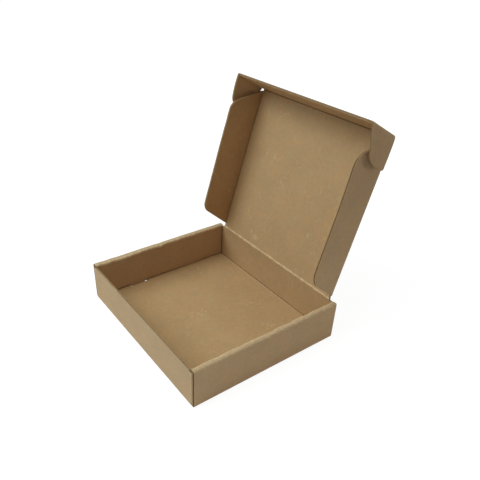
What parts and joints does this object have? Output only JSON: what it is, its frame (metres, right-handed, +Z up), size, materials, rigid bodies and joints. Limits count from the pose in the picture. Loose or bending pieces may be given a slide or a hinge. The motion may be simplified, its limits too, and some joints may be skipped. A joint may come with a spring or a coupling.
{
  "type": "corrugated mailer box",
  "caption": "Shallow folding mailer box of fine-flute corrugated board with rolled side walls, its hinged lid open, with side flaps and a front tuck flap.",
  "frame": {"origin": "middle of the underside of the tray, where the box rests", "axes": "+X to the right seen from the front, +Y from the front wall to the hinge, +Z up"},
  "size_m": [0.16, 0.176, 0.1792],
  "materials": {
    "kraft_board": "matte"
  },
  "bodies": {
    "tray": {"tray": "kraft_board"},
    "lid": {"lid_panel": "kraft_board"},
    "left_flap": {"lid_left_flap": "kraft_board"},
    "right_flap": {"lid_right_flap": "kraft_board"},
    "tuck": {"tuck_flap": "kraft_board"}
  },
  "joints": [
    {"name": "lid_hinge", "type": "hinge", "parent": "tray", "child": "lid", "pos_m": [0, 0.06825, 0.03425], "axis": [1, 0, 0], "range_deg": [-73.5, 106.5]},
    {"name": "left_flap_crease", "type": "hinge", "parent": "lid", "child": "left_flap", "pos_m": [-0.0716, 0.08656, 0.0987], "axis": [0, 0.284, 0.9588], "range_deg": [0, 85]},
    {"name": "right_flap_crease", "type": "hinge", "parent": "lid", "child": "right_flap", "pos_m": [0.0716, 0.08656, 0.0987], "axis": [0, -0.284, -0.9588], "range_deg": [0, 85]},
    {"name": "tuck_crease", "type": "hinge", "parent": "lid", "child": "tuck", "pos_m": [0, 0.10552, 0.1627], "axis": [1, 0, 0], "range_deg": [-15.5, 22.2]}
  ],
  "couplings": [
    {"joint": "tuck_crease", "follows": "lid_hinge", "ratio": 0.2065}
  ]
}
